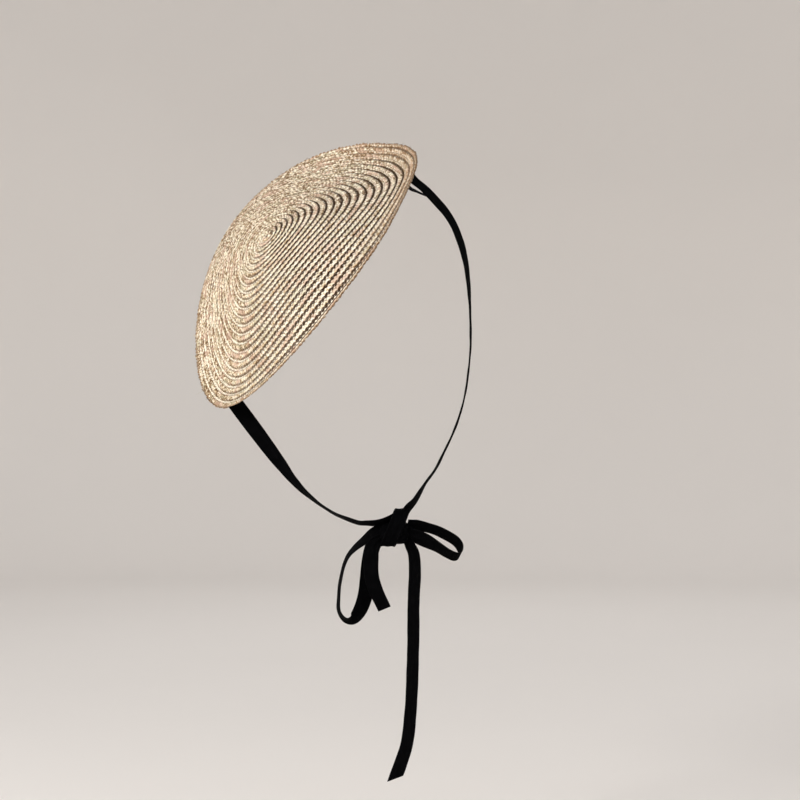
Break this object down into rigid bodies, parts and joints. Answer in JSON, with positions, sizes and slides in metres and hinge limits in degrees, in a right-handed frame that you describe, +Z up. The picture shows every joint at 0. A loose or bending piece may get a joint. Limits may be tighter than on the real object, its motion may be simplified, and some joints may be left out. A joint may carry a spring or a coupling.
{
  "type": "straw saucer hat with ribbon ties",
  "caption": "Shallow saucer hat of spirally sewn straw braid, bent over and worn tilted, with velvet ribbon ties knotted under the chin in a bow with loops and hanging tails.",
  "frame": {"origin": "the middle of the straw shell's inner face, where the hat bears on the head when it is worn", "axes": "+Z up as worn, +X to the right as the front is seen, +Y away from the viewer; the shell slants, higher at +X, with its crown rolled towards -Y"},
  "size_m": [0.2232, 0.2216, 0.4982],
  "materials": {
    "straw": "natural plaited straw, matt with a faint gloss on the raised strands",
    "velvet": "black velvet ribbon, soft pile with woven edges"
  },
  "bodies": {
    "root": {"straw_shell": "straw", "sewn_end_left": "velvet", "sewn_end_right": "velvet", "tie_left": "velvet", "tie_right": "velvet", "bow_knot": "velvet", "bow_loop_left": "velvet", "bow_loop_right": "velvet", "tail_short": "velvet", "tail_long": "velvet"}
  },
  "joints": []
}
